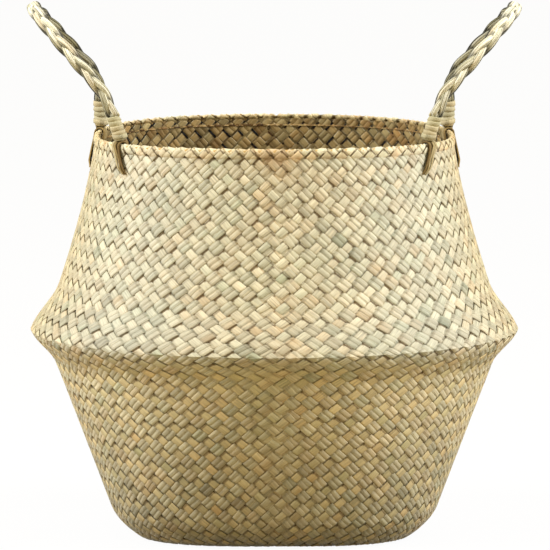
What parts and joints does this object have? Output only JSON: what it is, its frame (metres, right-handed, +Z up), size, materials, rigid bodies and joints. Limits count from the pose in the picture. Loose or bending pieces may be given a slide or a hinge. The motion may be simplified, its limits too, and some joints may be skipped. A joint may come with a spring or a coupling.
{
  "type": "plaited belly basket",
  "caption": "Round-bellied basket plaited from flat seagrass strips, with a folded belly, a hemmed rim and braided handles that flop; the top pushes down into the belly.",
  "frame": {"origin": "middle of the base, on the floor", "axes": "+Z up, handles at +X and -X, the side seen in the picture faces -Y"},
  "size_m": [0.3618, 0.3614, 0.3928],
  "materials": {
    "plait": "plaited dry seagrass, satin",
    "hem": "folded seagrass edge, satin",
    "braid": "three-strand seagrass braid, satin",
    "whipping": "pale wound seagrass strip, satin",
    "strand": "brown seagrass strands, matte"
  },
  "bodies": {
    "root": {"woven_base": "plait", "lower_wall": "plait", "fold_band": "plait"},
    "top": {"upper_wall": "plait", "rim_hem": "hem", "anchor_front_left_1": "strand", "anchor_front_left_2": "strand", "anchor_front_left_3": "strand", "anchor_back_left_1": "strand", "anchor_back_left_2": "strand", "anchor_back_left_3": "strand", "anchor_front_right_1": "strand", "anchor_front_right_2": "strand", "anchor_front_right_3": "strand", "anchor_back_right_1": "strand", "anchor_back_right_2": "strand", "anchor_back_right_3": "strand"},
    "left_handle": {"handle_left": "braid", "whipping_front_left": "whipping", "whipping_back_left": "whipping"},
    "right_handle": {"handle_right": "braid", "whipping_front_right": "whipping", "whipping_back_right": "whipping"}
  },
  "joints": [
    {"name": "top_tuck", "type": "slide", "parent": "root", "child": "top", "axis": [0, 0, -1], "range_m": [0, 0.1], "deforming": ["fold_band"]},
    {"name": "left_handle_flop", "type": "hinge", "parent": "top", "child": "left_handle", "pos_m": [-0.12084, -0.02138, 0.30002], "axis": [0.1486, -0.9889, 0], "range_deg": [-85, 50]},
    {"name": "right_handle_flop", "type": "hinge", "parent": "top", "child": "right_handle", "pos_m": [0.12084, -0.02138, 0.30002], "axis": [0.1486, 0.9889, 0], "range_deg": [-85, 50]}
  ]
}
